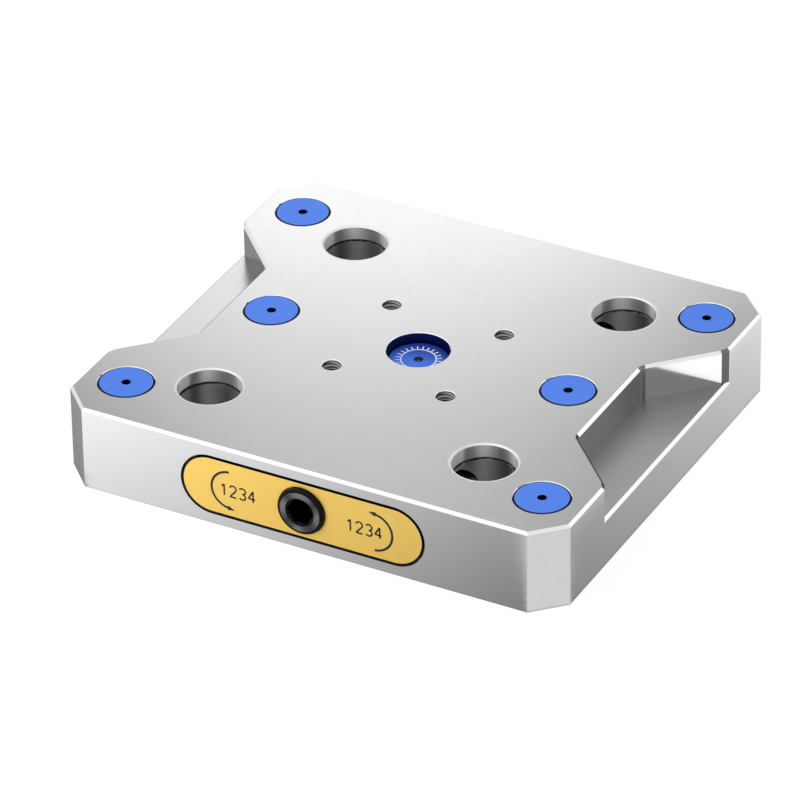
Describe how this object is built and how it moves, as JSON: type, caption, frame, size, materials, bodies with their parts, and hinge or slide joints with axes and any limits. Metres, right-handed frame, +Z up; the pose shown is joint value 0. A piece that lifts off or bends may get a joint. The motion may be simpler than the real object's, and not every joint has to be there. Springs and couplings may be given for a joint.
{
  "type": "zero point clamping plate",
  "caption": "Flat plate that clamps studs in receiver bores with sliding pins, driven by one screw through a cam slide, with capped mounting holes and side grip notches.",
  "frame": {"origin": "middle of the underside of the base plate", "axes": "+X along the front face, +Y from the front face with the drive screw to the rear, +Z up out of the clamping face"},
  "size_m": [0.174, 0.1555, 0.029],
  "materials": {
    "ground_steel": "fine ground and bead blasted, satin",
    "cover_steel": "milled",
    "screw_steel": "zinc plated",
    "hard_steel": "hardened and ground",
    "black_steel": "black oxide, oiled",
    "bush_bronze": "turned bronze",
    "gold_plate": "gold anodised, satin",
    "blue_cap": "blue anodised, satin",
    "black_pad": "bonding foam",
    "seal_rubber": "nitrile rubber"
  },
  "bodies": {
    "plate": {"base_plate": "ground_steel", "bottom_cover": "cover_steel", "cover_screws": "screw_steel", "front_plate": "gold_plate", "front_plate_pad": "black_pad", "screw_bush": "bush_bronze", "bush_lock_screw": "screw_steel", "screw_seal": "seal_rubber", "centre_plug": "blue_cap", "centre_plug_seal": "seal_rubber", "receiver_bush_front_left": "hard_steel", "receiver_seal_front_left": "seal_rubber", "receiver_bush_front_right": "hard_steel", "receiver_seal_front_right": "seal_rubber", "receiver_bush_rear_left": "hard_steel", "receiver_seal_rear_left": "seal_rubber", "receiver_bush_rear_right": "hard_steel", "receiver_seal_rear_right": "seal_rubber", "hole_cap_front_left": "blue_cap", "cap_seal_front_left": "seal_rubber", "hole_cap_front_right": "blue_cap", "cap_seal_front_right": "seal_rubber", "hole_cap_rear_left": "blue_cap", "cap_seal_rear_left": "seal_rubber", "hole_cap_rear_right": "blue_cap", "cap_seal_rear_right": "seal_rubber", "hole_cap_middle_left": "blue_cap", "cap_seal_middle_left": "seal_rubber", "hole_cap_middle_right": "blue_cap", "cap_seal_middle_right": "seal_rubber"},
    "slide": {"drive_slide": "black_steel", "thrust_pad": "hard_steel"},
    "screw": {"drive_screw": "black_steel"},
    "pin_front_left": {"locking_pin_front_left": "black_steel"},
    "pin_front_right": {"locking_pin_front_right": "black_steel"},
    "pin_rear_left": {"locking_pin_rear_left": "black_steel"},
    "pin_rear_right": {"locking_pin_rear_right": "black_steel"}
  },
  "joints": [
    {"name": "slide_feed", "type": "slide", "parent": "plate", "child": "slide", "axis": [0, 1, 0], "range_m": [0, 0.008]},
    {"name": "screw_turn", "type": "hinge", "parent": "slide", "child": "screw", "pos_m": [0, -0.0785, 0.0143], "axis": [0, 1, 0], "range_deg": [0, 1440]},
    {"name": "pin_feed_front_left", "type": "slide", "parent": "plate", "child": "pin_front_left", "axis": [-1, 0, 0], "range_m": [0, 0.004]},
    {"name": "pin_feed_front_right", "type": "slide", "parent": "plate", "child": "pin_front_right", "axis": [1, 0, 0], "range_m": [0, 0.004]},
    {"name": "pin_feed_rear_left", "type": "slide", "parent": "plate", "child": "pin_rear_left", "axis": [-1, 0, 0], "range_m": [0, 0.004]},
    {"name": "pin_feed_rear_right", "type": "slide", "parent": "plate", "child": "pin_rear_right", "axis": [1, 0, 0], "range_m": [0, 0.004]}
  ],
  "couplings": [
    {"joint": "screw_turn", "follows": "slide_feed", "rad_per_m": 3141.6},
    {"joint": "pin_feed_front_left", "follows": "slide_feed", "ratio": 0.5},
    {"joint": "pin_feed_front_right", "follows": "slide_feed", "ratio": 0.5},
    {"joint": "pin_feed_rear_left", "follows": "slide_feed", "ratio": 0.5},
    {"joint": "pin_feed_rear_right", "follows": "slide_feed", "ratio": 0.5}
  ]
}
